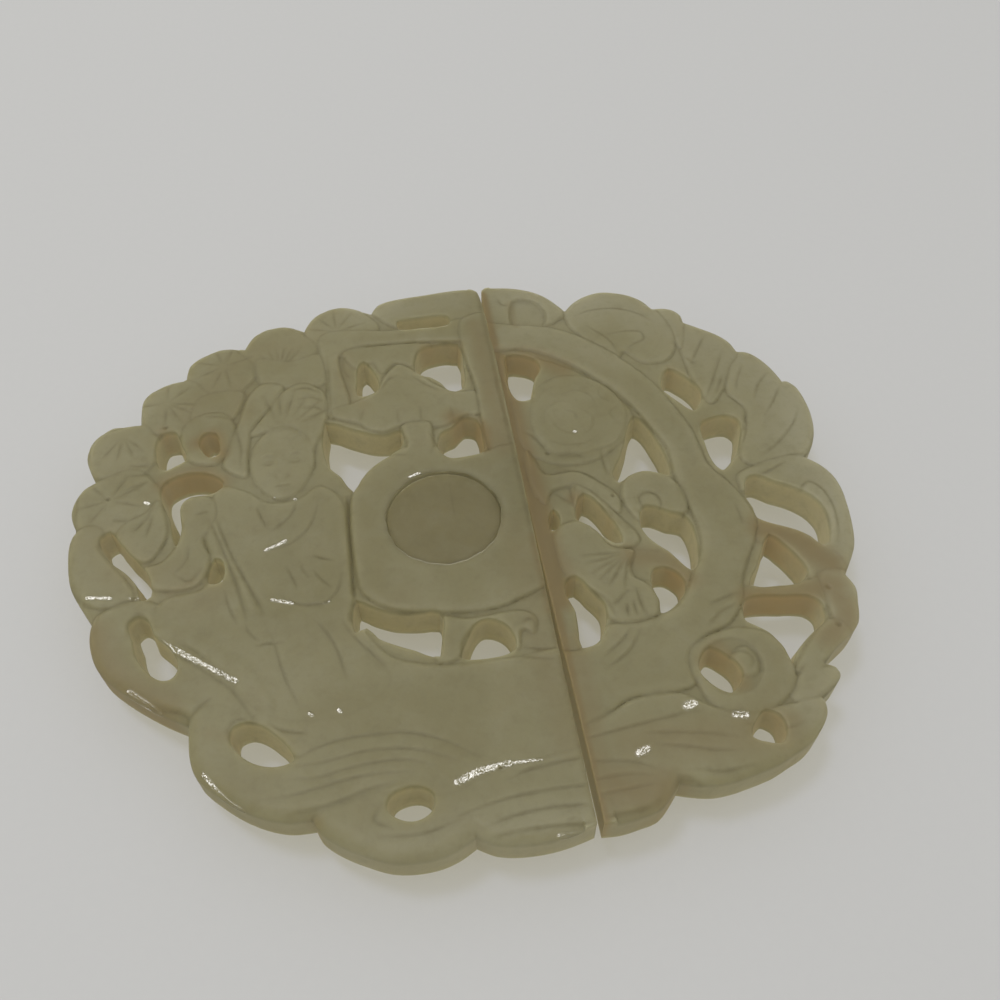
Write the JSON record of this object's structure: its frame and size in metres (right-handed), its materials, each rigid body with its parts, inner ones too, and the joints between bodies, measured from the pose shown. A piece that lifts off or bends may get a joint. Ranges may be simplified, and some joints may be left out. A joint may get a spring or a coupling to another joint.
{
  "type": "two-part belt buckle",
  "caption": "Scalloped round belt buckle of carved, pierced nephrite in two halves that meet at a straight seam, joined by a hook and catch on the back.",
  "frame": {"origin": "middle of the buckle's box, on the surface that it lies on", "axes": "+Z out of the carved face, +Y to the top of the carved scene, +X from the larger half to the smaller"},
  "size_m": [0.0927, 0.08, 0.0078],
  "materials": {
    "left_nephrite": "polished",
    "right_nephrite": "polished",
    "medallion_nephrite": "polished"
  },
  "bodies": {
    "right_half": {"right_plaque": "right_nephrite"},
    "left_half": {"left_plaque": "left_nephrite", "jar_medallion": "medallion_nephrite"}
  },
  "joints": [
    {"name": "unhook_lift", "type": "slide", "parent": "right_half", "child": "left_half", "axis": [0, 0, 1], "range_m": [0, 0.012]}
  ]
}
